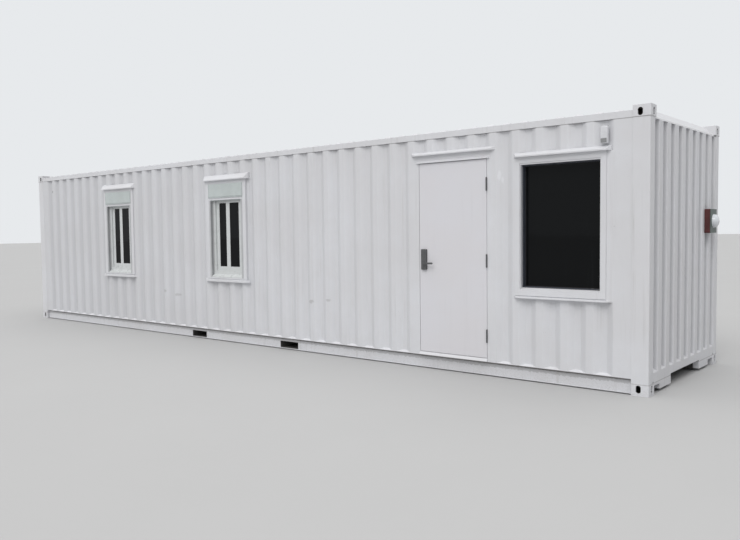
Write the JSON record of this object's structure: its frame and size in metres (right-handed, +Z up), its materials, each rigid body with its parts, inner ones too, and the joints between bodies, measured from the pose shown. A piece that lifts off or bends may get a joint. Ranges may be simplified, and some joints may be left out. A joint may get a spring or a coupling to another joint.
{
  "type": "shipping container cabin",
  "caption": "Long white corrugated steel container fitted out as a cabin, with a swinging door, shuttered sliding windows and a tall fixed window in one long side.",
  "frame": {"origin": "centre of the container's base, in the plane of the undersides of the bottom corner castings", "axes": "+X along the length towards the blind end with the gooseneck tunnel, -Y towards the long side with the door and windows, +Z up"},
  "size_m": [12.313, 2.4945, 2.896],
  "materials": {
    "white_paint": "satin white paint over steel, a little uneven",
    "door_paint": "smooth satin white paint",
    "underside_paint": "dark underbody coating",
    "lining_board": "pale wall board",
    "floor_deck": "plywood deck with a worn clear coat",
    "window_profile": "smooth white profile",
    "shutter_paint": "pale grey-green enamel",
    "dark_frame": "dark anodised look",
    "dark_glass": "clear glass, dark room behind",
    "grey_steel": "dull satin",
    "red_paint": "weathered dark red",
    "green_grey_paint": "grey-green enamel",
    "dome_cover": "glossy pale dome",
    "lamp_lens": "smoked lens",
    "light_housing": "white enamel"
  },
  "bodies": {
    "cabin": {"back_bottom_rail": "white_paint", "back_lining": "lining_board", "back_wall": "white_paint", "bottom_corner_castings": "white_paint", "cargo_door_bar_guides": "white_paint", "cargo_door_hinges": "white_paint", "cargo_door_leaves": "white_paint", "cargo_door_lock_bars": "white_paint", "cargo_door_threshold": "white_paint", "ceiling": "lining_board", "corner_posts": "white_paint", "cross_members": "underside_paint", "door_frame": "white_paint", "door_surround": "white_paint", "door_threshold": "white_paint", "end_linings": "lining_board", "far_end_header": "white_paint", "far_end_sill": "white_paint", "floor": "floor_deck", "fork_pockets": "underside_paint", "frame_hinge_leaves": "grey_steel", "front_bottom_rail": "white_paint", "front_lining_left": "lining_board", "front_lining_over_door": "lining_board", "front_lining_right": "lining_board", "front_wall_left": "white_paint", "front_wall_over_door": "white_paint", "front_wall_right": "white_paint", "gooseneck_tunnel": "underside_paint", "near_end_header": "white_paint", "near_end_sill": "white_paint", "near_end_wall": "white_paint", "picture_window_frame": "dark_frame", "picture_window_pane": "dark_glass", "picture_window_surround": "white_paint", "roof": "white_paint", "shutter_boxes": "shutter_paint", "shutter_guides": "shutter_paint", "top_corner_castings": "white_paint", "top_side_rails": "white_paint", "utility_box_case": "red_paint", "utility_box_cover": "green_grey_paint", "utility_box_dome": "dome_cover", "wall_light": "light_housing", "wall_light_lens": "lamp_lens", "window_frames": "window_profile", "window_panes": "dark_glass", "window_sashes": "window_profile", "window_surrounds": "white_paint"},
    "door": {"door_leaf": "door_paint", "leaf_hinge_leaves": "grey_steel", "door_lock": "grey_steel"},
    "lever": {"door_lever": "grey_steel"}
  },
  "joints": [
    {"name": "door_swing", "type": "hinge", "parent": "cabin", "child": "door", "pos_m": [4.2825, -1.221, 0.21], "axis": [0, 0, 1], "range_deg": [0, 110]},
    {"name": "lever_press", "type": "hinge", "parent": "door", "child": "lever", "pos_m": [3.426, -1.2, 1.29], "axis": [0, 1, 0], "range_deg": [0, 45], "stiffness_Nm_per_rad": 1.2, "springref_deg": -20.05}
  ]
}
